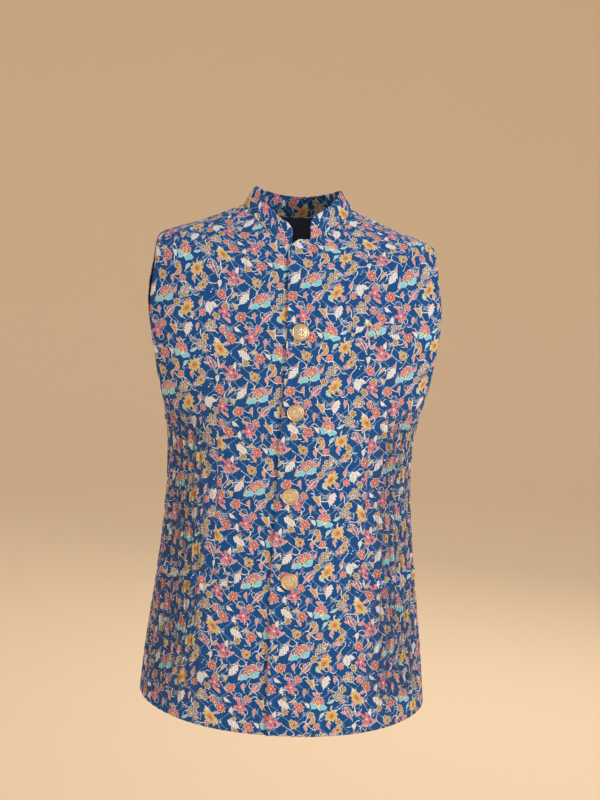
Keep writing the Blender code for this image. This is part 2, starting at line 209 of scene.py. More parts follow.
def crease_height(creases, across, z):
    """Sum of the creases: in each one's own turned axes, a bell across it, which is bowed
    along a parabola, times a soft fade towards both ends."""
    height = np.zeros(across.shape)
    for row in creases:
        crease = dict(zip(CREASE_COLUMNS, row))
        lean = math.radians(crease["lean"])
        dx, dz = across * 1000 - crease["across"], z * 1000 - crease["z"]
        along = (dx * math.sin(lean) + dz * math.cos(lean)) / crease["length"]
        beside = dx * math.cos(lean) - dz * math.sin(lean) - crease["bow"] * (1 - along**2)
        narrow = np.maximum(crease["breadth"] * (1.15 - 0.45 * along**2), 1.0)
        fade = smooth_step(1.35 - 1.35 * np.abs(along))
        height += crease["depth"] / 1000 * bell(beside, narrow) * fade
    return height


def crinkle_height(across, z, inner, outer):
    """Upright crinkles of the flanks, coarse and fine: sines of the distance across, whose
    phase wanders with the height. They fade in from inner to outer, start below the armhole and
    grow weaker at the hem. The third grid is painted shade for the colour: strongest in the
    crinkles' furrows, and a fifth of that over the rest of the flank."""
    flank = smooth_step((np.abs(across) - inner) / (outer - inner))
    flank *= smooth_step((CRINKLE_TOP - z) / CRINKLE_FADE)
    above_hem = smooth_step((z - CRINKLE_LOW) / CRINKLE_LOW_FADE)
    flank *= CRINKLE_AT_HEM + (1.0 - CRINKLE_AT_HEM) * above_hem
    wander = 1.7 * np.sin(z * 31.0 + 9.0 * across) + 1.2 * np.sin(z * 71.0 - across * 21.0)
    swell = 0.62 + 0.38 * np.sin(z * 43.0 + across * 60.0)
    coarse = swell * COARSE * np.sin(across * 2 * math.pi / COARSE_APART + wander)
    fine_phase = across * 2 * math.pi / FINE_APART - 1.4 * wander + 2.0
    fine = (1.3 - swell) * FINE * np.sin(fine_phase)
    # Painted shade: rising to 1 in the crinkles' lowest furrows and to 0 on their crests.
    furrow = smooth_step(0.45 - (0.5 * coarse + fine) / 0.0014)
    return np.stack([coarse, fine, 0.20 + 0.80 * furrow]) * flank


def seam_height(distance, along):
    """The dip of a seam at a distance from it, with small puckers along its length."""
    pucker = PUCKER * np.sin(along * 2 * math.pi / PUCKER_APART + 1.5 * np.sin(along * 47.0))
    return -SEAM_DIP * bell(distance, SEAM_BREADTH) + pucker * np.exp(-distance / PUCKER_REACH)


def turned_edge_height(distance):
    """A pressed, turned edge: it drops off in its last millimetre, beside a faint ridge."""
    drop = -EDGE_DROP * bell(distance, EDGE_DROP_BREADTH)
    return drop + RIDGE * bell(distance - RIDGE_IN, RIDGE_BREADTH)


def armhole_angle(station, side):
    """How far the armhole's edge lies from the side line, in radians: a skewed half oval."""
    reach, low = ARMHOLE[side]
    bottom, top = STATION["underarm"], STATION["tip"]
    share = np.clip((station - bottom) / (top - bottom), 0.0, 1.0)
    skewed = share ** (math.log(0.5) / math.log(low))
    return math.radians(reach) * (4.0 * skewed * (1.0 - skewed)) ** ARMHOLE_ROUND


def side_stop(station, side):
    """Angle from the centre to the armhole's edge, or to just short of the seam."""
    turn = 1e-3
    across = form_point(np.full_like(station, math.pi / 2 - turn), station)
    arc = np.linalg.norm(across - form_point(math.pi / 2, station), axis=-1) / turn
    return math.pi / 2 - armhole_angle(station, side) - SEAM_HALF / arc


def crowded(count, centre_share, extra):
    """Shares from 0 to 1 of a row from its centre to its side, closer by the factor 1 + extra
    beyond centre_share, where the cloth crinkles."""
    even = np.linspace(0.0, 1.0, 400)
    density = 1.0 + extra * smooth_step((even - centre_share) / 0.12)
    filled = np.r_[0.0, np.cumsum((density[1:] + density[:-1]) / 2)]
    return np.interp(np.linspace(0.0, 1.0, count + 1), filled / filled[-1], even)


def close_at_ends(shares):
    """Adds the two EDGE_STEPS beside both ends of shares that run from 0 to 1."""
    steps = np.array(EDGE_STEPS)
    inside = shares[(shares > 1.5 * steps[-1]) & (shares < 1 - 1.5 * steps[-1])]
    return np.r_[0.0, steps, inside, 1.0 - steps[::-1], 1.0]


def panel_stations():
    """Stations of a panel's rows. Beside the armhole they crowd at both its ends."""
    below, beside, above = PANEL_ROWS
    bottom, top = STATION["underarm"], STATION["tip"]
    turn = np.linspace(0.0, math.pi, beside + 1)
    middle = bottom + (top - bottom) * (1.0 - np.cos(turn)) / 2.0
    return close_at_ends(np.r_[
        np.linspace(0.0, bottom, below + 1)[:-1], middle, np.linspace(top, 1.0, above + 1)[1:]
    ])


def run_along(points):
    """Distance over the cloth on the level, along each row from its first point."""
    steps = np.linalg.norm(np.diff(points[..., :2], axis=1), axis=-1)
    return np.pad(np.cumsum(steps, axis=1), ((0, 0), (1, 0)))


def cut_length(z, middle):
    """Length up the flat cut at height z, measured over the cloth on its middle line."""
    line = form_point(middle, np.linspace(0.0, 1.0, 600))
    lengths = np.r_[0.0, np.cumsum(np.linalg.norm(np.diff(line, axis=0), axis=1))]
    beyond = np.minimum(z - line[0, 2], 0.0) + np.maximum(z - line[-1, 2], 0.0)
    return np.interp(z, line[:, 2], lengths) + beyond


def up_the_cut(form, lengths, chest):
    """Length up the flat cut: the given lengths up to the chest's row, and from there the
    distance over the form from row to row, square to the rows, so that the print lies true
    on the slope of the shoulders."""
    step, ring = np.diff(form, axis=0), np.gradient(form, axis=1)[:-1]
    ring = ring / np.linalg.norm(ring, axis=-1, keepdims=True)
    square = np.linalg.norm(step - (step * ring).sum(axis=-1, keepdims=True) * ring, axis=-1)
    above = lengths[chest] + np.cumsum(square[chest:], axis=0)
    return np.concatenate([lengths[: chest + 1], above])


def rim_of(grid):
    """Index of each point round a grid's edge, in order."""
    return np.concatenate([grid[0, :-1], grid[:-1, -1], grid[-1, :0:-1], grid[:0:-1, 0]])


def panel_faces(angle, level, form, across, to_side, creases, flank, lift, detail):
    """The outer and inner face of a panel over its form, its normals and its painted furrow shade.
    Both faces follow folds, creases, coarse crinkles and the lift, and the outer one the rest:
    fine crinkles, the seam or the armhole's edge at the side, the hem's edge and the detail."""
    z = form[..., 2]
    soft = fold_height(angle, z) + crease_height(creases, across, z) + lift
    coarse, fine, crushed = crinkle_height(across, z, *flank) * smooth_step(to_side / SIDE_FADE)
    soft += coarse
    beside_armhole = (level > STATION["underarm"]) & (level < STATION["tip"])
    fine += np.where(beside_armhole, turned_edge_height(to_side), seam_height(to_side, z))
    fine += turned_edge_height(z - z[:1]) + detail
    normal = form_normal(angle, level)
    outer = form + normal * (soft + fine)[..., None]
    inner = form + normal * (soft - CLOTH)[..., None]
    return outer, inner, normal, crushed


def quads_of(index):
    """The quads of a grid of point numbers. Transposed, the grid has them face the other way."""
    corners = [index[:-1, :-1], index[:-1, 1:], index[1:, 1:], index[1:, :-1]]
    return np.stack(corners, axis=-1).reshape(-1, 4)


def round_again(index):
    """The grid with its first column once more after its last, so that its rows are rings."""
    return np.column_stack([index, index[:, 0]])


def add_object(name, data):
    """A new object in the scene, at the origin."""
    new = bpy.data.objects.new(name, data)
    bpy.context.scene.collection.objects.link(new)
    return new


def closed_cloth(name, outer, inner, cut, faces, crushed=None, side=1):
    """A closed cloth piece: the outer and the inner face, and three loops between their edges
    which bulge by ROLL. faces are the materials of the outside with its edge and the inside.
    The painted furrow shade, if given, sets how far painted shade darkens each point of the outer
    face. Side -1 reads the columns backwards."""
    outer, inner, cut = outer[:, ::side], inner[:, ::side], cut[:, ::side]
    rows, columns = outer.shape[:2]
    count = rows * columns
    index = np.arange(count).reshape(rows, columns)
    edge = rim_of(index)
    inward = np.clip(index // columns, 1, rows - 2) * columns
    inward += np.clip(index % columns, 1, columns - 2)
    flat_outer, flat_inner, flat_cut = outer.reshape(-1, 3), inner.reshape(-1, 3), cut.reshape(-1, 2)
    away = flat_outer[edge] - flat_outer[inward.reshape(-1)[edge]]
    away /= np.linalg.norm(away, axis=1, keepdims=True)
    through, bulge = np.array(EDGE_LOOPS).T[:, :, None, None]
    loops = flat_outer[edge] * (1 - through) + flat_inner[edge] * through + away * bulge * ROLL
    points = np.concatenate([flat_outer, loops.reshape(-1, 3), flat_inner])
    on_cut = np.concatenate([flat_cut, np.tile(flat_cut[edge], (len(EDGE_LOOPS), 1)), flat_cut])
    between_faces = np.arange(count, len(points) - count).reshape(len(EDGE_LOOPS), -1)
    first_inner = len(points) - count
    band = quads_of(round_again(np.stack([edge, *between_faces, first_inner + edge])).T)
    face = quads_of(index)
    quads = np.concatenate([face, band, (face + first_inner)[:, ::-1]])
    mesh = bpy.data.meshes.new(name)
    mesh.vertices.add(len(points))
    mesh.vertices.foreach_set("co", points.ravel())
    mesh.loops.add(quads.size)
    mesh.loops.foreach_set("vertex_index", quads.ravel())
    mesh.polygons.add(len(quads))
    mesh.polygons.foreach_set("loop_start", np.arange(0, quads.size, 4))
    mesh.update(calc_edges=True)
    mesh.uv_layers.new(name="cut").data.foreach_set("uv", on_cut[quads.ravel()].ravel())
    # Painted shade of each point: darkest in the crinkles' furrows, none on the edge loops and the inner
    # face.
    furrow_shade = np.zeros(len(points))
    if crushed is not None:
        furrow_shade[:count] = crushed[:, ::side].ravel()
    mesh.attributes.new("crushed", "FLOAT", "POINT").data.foreach_set("value", furrow_shade)
    for material in faces:
        mesh.materials.append(material)
    inside = np.arange(len(quads)) >= len(face) + len(band)
    mesh.polygons.foreach_set("material_index", inside.astype(int))
    mesh.shade_smooth()
    return add_object(name, mesh)


def flat_size(cut):
    """Width, length and area of the flat cut: its extent, and the sum of its quads' areas."""
    u, v = cut[..., 0], cut[..., 1]
    one = (u[1:, 1:] - u[:-1, :-1]) * (v[1:, :-1] - v[:-1, 1:])
    two = (u[1:, :-1] - u[:-1, 1:]) * (v[1:, 1:] - v[:-1, :-1])
    return float(np.ptp(u)), float(np.ptp(v)), float(np.abs(one - two).sum() / 2)


# The cloth's drawing is flat screen printing on a dull, slubby weave. It repeats on each piece's
# own cut: thin lattice lines lowest, then stems, small leaves and blossoms, and large motifs.
# All lengths in the drawing are millimetres on the cloth.
REPEAT_WIDE, REPEAT_HIGH = 136.0, 128.0
INKS = {
    "ground": (0.006, 0.088, 0.300),
    "deep ground": (0.003, 0.055, 0.205),
    "line": (0.300, 0.410, 0.560),
    "white": (0.770, 0.790, 0.800),
    "vein": (0.480, 0.510, 0.550),
    "cream": (0.700, 0.665, 0.615),
    "pink": (0.600, 0.110, 0.170),
    "deep pink": (0.420, 0.060, 0.120),
    "rose": (0.640, 0.340, 0.390),
    "coral": (0.660, 0.095, 0.085),
    "yellow": (0.700, 0.480, 0.080),
    "mustard": (0.500, 0.330, 0.090),
    "tan": (0.420, 0.320, 0.170),
    "orange": (0.620, 0.340, 0.120),
    "turquoise": (0.185, 0.660, 0.760),
    "brown": (0.150, 0.070, 0.050),
    "painted shade": (0.060, 0.050, 0.052),
# painted shade, laid over the print in the crinkles' furrows
}
NAVY = ((0.018, 0.036, 0.090), (0.026, 0.052, 0.125))
SHAKE, SHAKE_SCALE = 1.3, 420.0  # how far the lines waver, and the noise's cells in a metre
SLUBS = (700.0, 24.0)  # noise cells in a metre across and up
STITCH_SCALE = 640.0  # noise cells in a metre, for the stitches that show over ink
LIGHT_STITCH, DARK_STITCH = 0.20, 0.40  # how much a stitch shows
FURROW_SHADE_STRENGTH = 0.58  # how far the painted shade of the furrows goes to its dark ink at most
WEAVE_APART, TWILL_APART = 0.0011, 0.0016  # these two in metres, as the cut is
KINDS = ("carnation", "sunny", "coral", "small", "toothed", "berries", "feather", "star", "pod")
# The motif in each large cell of the drawing, row by row from the bottom: its kind, how far it is
# set off to the right and up, and how far it is turned, in degrees.
LARGE_CELLS = 5  # large cells each way in a repeat
LARGE_MOTIFS = (
    ("coral", -4, 2, 20),
    ("feather", 3, 0, -35),
    ("sunny", 0, 2, 0),
    ("toothed", 4, -2, 25),
    ("star", -1, 1, 60),
    ("toothed", 4, 1, -30),
    ("carnation", 0, 1, 8),
    ("berries", 1, -1, 160),
    ("small", -1, 3, 0),
    ("coral", 0, -4, 45),
    ("star", -2, 1, 10),
    ("small", 3, -3, 30),
    ("pod", 0, 2, -40),
    ("sunny", 2, 0, 40),
    ("feather", 0, 1, 20),
    ("sunny", 0, 0, 15),
    ("toothed", 4, 2, 50),
    ("coral", -3, -4, 0),
    ("carnation", -1, 2, -24),
    ("berries", 2, 0, 200),
    ("berries", 1, 1, 30),
    ("coral", 1, -4, 10),
    ("star", 2, 1, 35),
    ("pod", 1, 2, 35),
    ("toothed", -4, 0, -20),
)
# Round blossoms: radius, number of petals, and inks of the rim, the petals, the heart and the eye.
DAISIES = {
    "sunny": (9.4, 9, ("cream", "yellow", "mustard", "coral")),
    "coral": (7.2, 8, ("cream", "coral", "deep pink", "yellow")),
    "small": (6.4, 7, ("cream", "mustard", "orange", "brown")),
}
KIND_SPAN, OFFSET_SPAN, TURN_SPAN = 10, 20, 720  # a ramp's colours hold these as 0 to 1
LARGE_STAGGER = 0.4  # each row of large cells is set off by this share of a cell
SMALL_CELLS = 8  # small cells each way in a repeat
SMALL_STAGGER = 0.375
# The ink of a small leaf, from each lot between 0 and 1 up to the next.
SMALL_INKS = (
    (0.00, "mustard"),
    (0.07, "pink"),
    (0.42, "turquoise"),
    (0.60, "pink"),
    (0.72, "coral"),
    (0.86, "white"),
)


def maths_method(operation):
    """A method of Yarn that adds the Math node of this operation."""
    return lambda yarn, *others: yarn.maths(operation, *others)


class Yarn:
    """A value or colour that runs through a material. It wraps one socket: sums on it add Math
    nodes, and node() adds any other node."""

    def __init__(self, tree, socket=None):
        self.tree, self.socket = tree, socket

    def node(self, kind, settings=None, inputs=None, out=0):
        """A new node: its settings first, a ramp's stops among them, then its sockets' values
        or yarns. Gives its output number out."""
        new = self.tree.nodes.new(kind)
        for name, value in (settings or {}).items():
            if name != "stops":
                setattr(new, name, value)
                continue
            new.color_ramp.interpolation = "CONSTANT"
            elements = new.color_ramp.elements
            for place, colour in value[1:]:
                elements.new(place).color = (*colour, 1.0)
            elements[0].color = (*value[0][1], 1.0)
            elements.remove(elements[-1])
        self.feed(new, inputs or {})
        return Yarn(self.tree, new.outputs[out])

    def feed(self, node, inputs):
        """Gives sockets of a node their values or yarns."""
        for name, value in inputs.items():
            if isinstance(value, Yarn):
                self.tree.links.new(value.socket, node.inputs[name])
            else:
                node.inputs[name].default_value = value

    def maths(self, operation, *others):
        return self.node("ShaderNodeMath", {"operation": operation}, dict(enumerate((self, *others))))

    def __rsub__(self, other):
        return self.node("ShaderNodeMath", {"operation": "SUBTRACT"}, {0: other, 1: self})

    __add__ = __radd__ = maths_method("ADD")
    __mul__ = __rmul__ = maths_method("MULTIPLY")
    __sub__, __pow__ = maths_method("SUBTRACT"), maths_method("POWER")
    __lt__, __gt__ = maths_method("LESS_THAN"), maths_method("GREATER_THAN")
    __abs__ = maths_method("ABSOLUTE")

    def wrapped(self, period):
        return self.maths("FLOORED_MODULO", period)

    def wave(self, period, shift=0.0):
        return (self * (2 * math.pi / period) + shift).maths("SINE")

    def over(self, below, colour):
        """The colour laid over the colour below where this mask is 1."""
        both = [part if isinstance(part, Yarn) else (*part, 1.0) for part in (below, colour)]
        sockets = {0: self, 6: both[0], 7: both[1]}
        return self.node("ShaderNodeMix", {"data_type": "RGBA"}, sockets, out=2)

    def parts(self):
        """The three parts of a vector or colour."""
        return [self.node("ShaderNodeSeparateXYZ", None, {0: self}, out=axis) for axis in range(3)]


def far(x, y):
    """Distance from the origin."""
    return (x * x + y * y).maths("SQRT")


def turned(x, y, angle):
    """x and y seen from axes turned by an angle in radians, which may be a yarn."""
    fixed = not isinstance(angle, Yarn)
    cos = math.cos(angle) if fixed else angle.maths("COSINE")
    sin = math.sin(angle) if fixed else angle.maths("SINE")
    return x * cos + y * sin, y * cos - x * sin


def cells(x, y, count, stagger):
    """Splits the repeat into count by count cells, each row set off by stagger of a cell: the
    place within a cell from its middle, and the cell's column and row."""
    wide, high = REPEAT_WIDE / count, REPEAT_HIGH / count
    up = y * (1 / high)
    row = up.maths("FLOOR")
    along = x * (1 / wide) + row.wrapped(float(count)) * stagger
    column = along.maths("FLOOR")
    in_x, in_y = (along - column - 0.5) * wide, (up - row - 0.5) * high
    return in_x, in_y, column.wrapped(float(count)), row.wrapped(float(count))


def painted(colour, on, *layers):
    """The colour with each layer, a mask and its ink, laid over it in turn where on is 1."""
    for mask, ink in layers:
        colour = (on * mask).over(colour, INKS[ink])
    return colour


def daisy(colour, on, x, y, radius, petals, inks):
    """Round petals: the edge goes from 0.66 to 1.02 of the radius with |cos| of the angle, and
    light lines part the petals. inks are the rim, the petals, the heart and the eye."""
    r = far(x, y)
    fold = abs((y.maths("ARCTAN2", x) * (petals / 2)).maths("COSINE"))
    edge = fold * (0.36 * radius) + 0.66 * radius
    petal = (r < edge - 0.7) * (fold * r > 0.16 * petals)
    masks = (r < edge, petal, r < radius * 0.47, r < radius * 0.25)
    return painted(colour, on, *zip(masks, inks))


def carnation(colour, on, x, y):
    """A fan of petals above a ringed cup, on a curved stem with a turquoise leaf each side."""
    stem = abs(x - (y + 6.0) * (y + 6.0) * 0.09) < 0.75
    leaf_x, leaf_y = turned(abs(x) - 7.6, y + 9.4, 0.22)
    leaf = abs(leaf_y) - 4.2 * (1.0 - leaf_x * leaf_x * (1 / 48.0))
    r, angle = far(x, y + 3.4), x.maths("ARCTAN2", y + 3.4)
    fold = abs((angle * 6.5).maths("COSINE"))
    edge = fold * 1.8 + 9.4 - abs(angle) * 1.0
    fan = abs(angle) < 1.85
    return painted(
        colour,
        on,
        (stem * (y < -5.0) * (y > -14.0), "white"),
        (leaf < 0.4, "white"),
        (leaf < -0.3, "turquoise"),
        (fan * (r < edge), "cream"),
        (fan * (r < edge - 0.8) * (fold * r > 1.9), "pink"),
        (fan * (r < 5.6) * (fold * r > 1.7), "deep pink"),
        (r < 3.7, "cream"),
        (r < 3.1, "yellow"),
        (abs(r - 1.6) < 0.4, "deep pink"),
    )


def toothed_leaf(colour, on, x, y):
    """A white leaf, narrow at both ends, whose edge steps in and out with a sawtooth."""
    stalk = (abs(x + 0.4) < 0.55) * (y < -6.0) * (y > -11.0)
    tooth = (abs(x) * 0.35 + y * 0.30).maths("FRACT")
    half = (1.0 - y * y * (1 / 78.0)) * (tooth * 2.9 + 3.9)
    vein = (abs(x) < 0.3) + (tooth > 0.86) * (abs(x) < half - 1.0)
    veins = (vein > 0.5) * (abs(y) < 6.5)
    return painted(colour, on, (stalk, "white"), (abs(x) < half, "white"), (veins, "vein"))


def berries(colour, on, x, y):
    """Six ringed berries round a seventh, on thin white stalks."""
    r = far(x, y)
    sixth = y.maths("ARCTAN2", x) * (3 / math.pi)
    within = (sixth.maths("FRACT") - 0.5) * (math.pi / 3)
    along, beside = r * within.maths("COSINE"), r * within.maths("SINE")
    stalk = abs(x - y * y * 0.03) < 0.5
    berry = far(along - 5.9, beside).maths("MINIMUM", r)
    return painted(
        colour,
        on,
        ((abs(beside) < 0.4) * (r < 5.0), "white"),
        (stalk * (y < -3.0) * (y > -12.5), "white"),
        (berry < 2.6, "cream"),
        (berry < 2.0, "tan"),
        (berry < 0.75, "brown"),
    )


def feather(colour, on, x, y):
    """Short barbs that slant up from both sides of a stem, pink with cream tips."""
    slant = (y - abs(x) * 0.75) * (1 / 3.3)
    barb = abs(slant - slant.maths("ROUND")) < 0.27
    half = 6.2 - (y - 0.5) * (y - 0.5) * 0.058
    spray = barb * (abs(x) < half) * (abs(x) > 0.8) * (abs(y) < 9.6)
    stem, tips = (abs(x) < 0.5) * (abs(y + 1.5) < 10.5), spray * (abs(x) > half - 1.9)
    return painted(colour, on, (stem, "white"), (spray, "pink"), (tips, "cream"))


def leaf_star(colour, on, x, y):
    """Five pink leaves that meet in a point: the edge follows |cos| of 2.5 times the angle."""
    r, angle = far(x, y), y.maths("ARCTAN2", x) * 2.5
    edge = abs(angle.maths("COSINE")) ** 0.6 * 9.6
    leaf = (r < edge - 1.0) * (abs(angle.maths("SINE")) * r > 0.9)
    return painted(colour, on, (r < edge, "rose"), (leaf, "pink"), (r < 1.6, "cream"))


def pod(colour, on, x, y):
    """A long orange leaf, bowed to one side, with a cream edge and a row of dark seeds."""
    bent, half = abs(x - 2.2 + y * y * 0.05), 3.4 - y * y * 0.040
    seed = far(bent, ((y * (1 / 2.6)).maths("FRACT") - 0.5) * 2.6) < 0.62
    seeds = seed * (abs(y) < 6.0)
    return painted(colour, on, (bent < half, "cream"), (bent < half - 0.8, "orange"), (seeds, "coral"))


def large_motifs(colour, x, y):
    """The table of LARGE_MOTIFS, read back from two ramps: kind and turn, and the offsets."""
    places = [number / len(LARGE_MOTIFS) for number in range(len(LARGE_MOTIFS))]
    kinds, offsets = [], []
    for kind, right, up, turn in LARGE_MOTIFS:
        kinds.append((KINDS.index(kind) / KIND_SPAN, turn / TURN_SPAN + 0.5, 0.0))
        offsets.append((right / OFFSET_SPAN + 0.5, up / OFFSET_SPAN + 0.5, 0.0))
    shifted_x = x + y.wave(REPEAT_HIGH, 2.1) * 5.5
    shifted_y = y + x.wave(REPEAT_WIDE, 0.5) * 6.5 + x.wave(REPEAT_WIDE / 2, 1.7) * 2.0
    in_x, in_y, column, row = cells(shifted_x, shifted_y, LARGE_CELLS, LARGE_STAGGER)
    number = (column + row * LARGE_CELLS + 0.5) * (1 / len(LARGE_MOTIFS))
    ramp = "ShaderNodeValToRGB"
    kind, turn, _ = x.node(ramp, {"stops": list(zip(places, kinds))}, {0: number}).parts()
    right, up, _ = x.node(ramp, {"stops": list(zip(places, offsets))}, {0: number}).parts()
    off_x, off_y = (right - 0.5) * OFFSET_SPAN, (up - 0.5) * OFFSET_SPAN
    px, py = turned(in_x - off_x, in_y - off_y, (turn - 0.5) * math.radians(TURN_SPAN))
    number = kind * KIND_SPAN
    on = {name: number.maths("COMPARE", float(index), 0.3) for index, name in enumerate(KINDS)}
    leaves = {"feather": feather, "star": leaf_star, "berries": berries, "pod": pod, "toothed": toothed_leaf}
    for name, draw in leaves.items():
        colour = draw(colour, on[name], px, py)
    for name, (radius, petals, inks) in DAISIES.items():
        colour = daisy(colour, on[name], px, py, radius, petals, inks)
    return carnation(colour, on["carnation"], px, py)


def small_motifs(colour, x, y):
    """Small leaves, blossoms and dots: each cell's kind, turn and ink are drawn from its number
    by White Noise, so every repeat has the same ones."""
    shifted_x = x + y.wave(REPEAT_HIGH / 2, 0.4) * 2.6
    shifted_y = y + x.wave(REPEAT_WIDE / 2, 2.9) * 2.6
    in_x, in_y, column, row = cells(shifted_x, shifted_y, SMALL_CELLS, SMALL_STAGGER)
    place = x.node("ShaderNodeCombineXYZ", None, {0: column, 1: row, 2: 4.0})
    lot, turn, hue = x.node("ShaderNodeTexWhiteNoise", None, {"Vector": place}, out=1).parts()
    px, py = turned(in_x - (hue - 0.5) * 4.0, in_y - (lot - 0.5) * 3.0, turn * (2 * math.pi))
    stops = [(at, INKS[name]) for at, name in SMALL_INKS]
    ink = x.node("ShaderNodeValToRGB", {"stops": stops}, {0: hue})
    bent, half = abs(px - py * py * 0.050), 2.6 - py * py * 0.080
    leaf = lot < 0.66
    stalk = (abs(px - py * py * 0.03) < 0.42) * (py < -5.5) * (py > -9.0)
    tendril = (abs(far(px - 4.2, py + 2.0) - 4.6) < 0.36) * (px > 3.4) * (lot > 0.2) * (lot < 0.6)
    colour = (tendril + leaf * stalk > 0.5).over(colour, INKS["white"])
    colour = (leaf * (bent < half)).over(colour, INKS["cream"])
    rib = abs((py * 0.42 - bent * 0.3).maths("FRACT") - 0.5) < 0.12
    colour = (leaf * (bent < half - 0.4) * (bent > 0.25) * (1.0 - rib)).over(colour, ink)
    for low, high, petals, heart in ((0.66, 0.80, "pink", "coral"), (0.80, 0.90, "mustard", "brown")):
        blossom = (lot > low) * (lot < high)
        colour = daisy(colour, blossom, px, py, 5.2, 6, ("cream", petals, heart, "yellow"))
    dots = far(abs(px) - 2.2, py) < 0.9
    return ((lot > 0.90) * dots).over(colour, INKS["white"])


def lattice(colour, x, y):
    """Pale lines that swing to and fro with a sine of the height, neighbours opposite ways, so
    that they close long cells, and short rungs where two of them come close."""
    wide, high, swing = REPEAT_WIDE / 8, REPEAT_HIGH / 4, 7.3
    swung = y.wave(high) * swing
    place = x * (1 / wide)
    rung = abs((y * 0.48).maths("FRACT") - 0.5) < 0.22
    for step in (0.0, 1.0):
        number = place.maths("FLOOR") + step
        side = 1.0 - 2.0 * number.wrapped(2.0)
        off = abs(x - number * wide - side * swung)
        colour = (off < 0.42).over(colour, INKS["line"])
        close = (abs(swung) > swing - 0.9) * (off < 2.9)
        colour = (close * rung).over(colour, INKS["line"])
    return colour


def stems(colour, x, y):
    """White stems: lines across and up the cloth, bent by sines, with gaps."""
    bands, posts = REPEAT_HIGH / 4, REPEAT_WIDE / 4
    run = y + x.wave(REPEAT_WIDE / 2, 0.6) * 10.0 + x.wave(REPEAT_WIDE / 5, 2.0) * 4.5
    shown = (x + y * 0.5).wave(REPEAT_WIDE / 4, 1.0) > -0.5
    colour = (shown * (abs(run.wrapped(bands) - bands / 2) < 0.55)).over(colour, INKS["white"])
    climb = x + y.wave(REPEAT_HIGH / 2, 1.0) * 8.5 + y.wave(REPEAT_HIGH / 5) * 3.5
    shown = (y - x * 0.4).wave(REPEAT_HIGH / 3, 2.2) > -0.4
    return (shown * (abs(climb.wrapped(posts) - posts / 2) < 0.55)).over(colour, INKS["white"])


def new_material(name):
    """A new material, its surface, and a yarn to start from."""
    material = bpy.data.materials.new(name)
    material.use_nodes = True
    tree = material.node_tree
    return material, tree.nodes["Principled BSDF"], Yarn(tree)


def printed_cloth():
    """The outside of the cloth: the drawing on the cut's own coordinates, its lines a little
    shaky, over slubs (stretched noise) and a plain weave (the product of two sines). Where ink
    lies, ground shows through as stitches, light and dark; painted shade darkens the crinkles'
    furrows on the flanks."""
    material, surface, start = new_material("printed_cloth_face")
    cut = start.node("ShaderNodeUVMap", {"uv_map": "cut"})
    flat_x, flat_y, _ = cut.parts()
    flat_noise = ("ShaderNodeTexNoise", {"noise_dimensions": "2D"})
    shaking = {"Vector": cut, "Scale": SHAKE_SCALE, "Detail": 1.0}
    shake_x, shake_y, _ = start.node(*flat_noise, shaking, out=1).parts()
    x = flat_x * 1000.0 + (shake_x - 0.5) * SHAKE
    y = flat_y * 1000.0 + (shake_y - 0.5) * SHAKE
    thread = start.node("ShaderNodeCombineXYZ", None, {0: flat_x * SLUBS[0], 1: flat_y * SLUBS[1]})
    slub = start.node(*flat_noise, {"Vector": thread, "Scale": 1.0, "Detail": 2.0})
    colour = slub.over(INKS["deep ground"], INKS["ground"])
    for layer in (lattice, stems, small_motifs, large_motifs):
        colour = layer(colour, x, y)
    inked = colour.parts()[0] > 0.1
    stitching = {"Vector": cut, "Scale": STITCH_SCALE, "Detail": 1.0}
    light, dark, _ = start.node(*flat_noise, stitching, out=1).parts()
    colour = (inked * (light > 0.58) * LIGHT_STITCH).over(colour, INKS["white"])
    colour = (inked * (dark < 0.39) * DARK_STITCH).over(colour, INKS["brown"])
    # Painted shade: the colour goes towards a dark ink in the crinkles' furrows on the flanks.
    crushed = start.node("ShaderNodeAttribute", {"attribute_name": "crushed"}, out=2)
    colour = (crushed * FURROW_SHADE_STRENGTH).over(colour, INKS["painted shade"])
    tone = slub * 0.5 + 0.75
    grey = start.node("ShaderNodeCombineXYZ", None, {0: tone, 1: tone, 2: tone})
    blend = {"data_type": "RGBA", "blend_type": "MULTIPLY"}
    dyed = start.node("ShaderNodeMix", blend, {0: 1.0, 6: colour, 7: grey}, out=2)
    weave = flat_x.wave(WEAVE_APART) * flat_y.wave(WEAVE_APART)
    bumps = {"Strength": 0.5, "Distance": 0.0005, "Height": slub * 0.8 + weave * 0.15}
    bump = start.node("ShaderNodeBump", None, bumps)
    start.feed(surface, {"Base Color": dyed, "Roughness": 0.92 - slub * 0.22, "Normal": bump})
    start.feed(surface, {"Specular IOR Level": 0.20, "Sheen Weight": 0.03, "Sheen Roughness": 0.5})
    return material


def lining_cloth():
    """The inside of the cloth: smooth navy twill, fine slanting ribs from a sine."""
    material, surface, start = new_material("navy_inside")
    flat_x, flat_y, _ = start.node("ShaderNodeUVMap", {"uv_map": "cut"}).parts()
    rib = (flat_x + flat_y * 0.6).wave(TWILL_APART)
    bump = start.node("ShaderNodeBump", None, {"Strength": 0.3, "Distance": 0.0002, "Height": rib})
    navy = (rib * 0.5 + 0.5).over(*NAVY)
    start.feed(surface, {"Base Color": navy, "Roughness": 0.55, "Normal": bump})
    return material


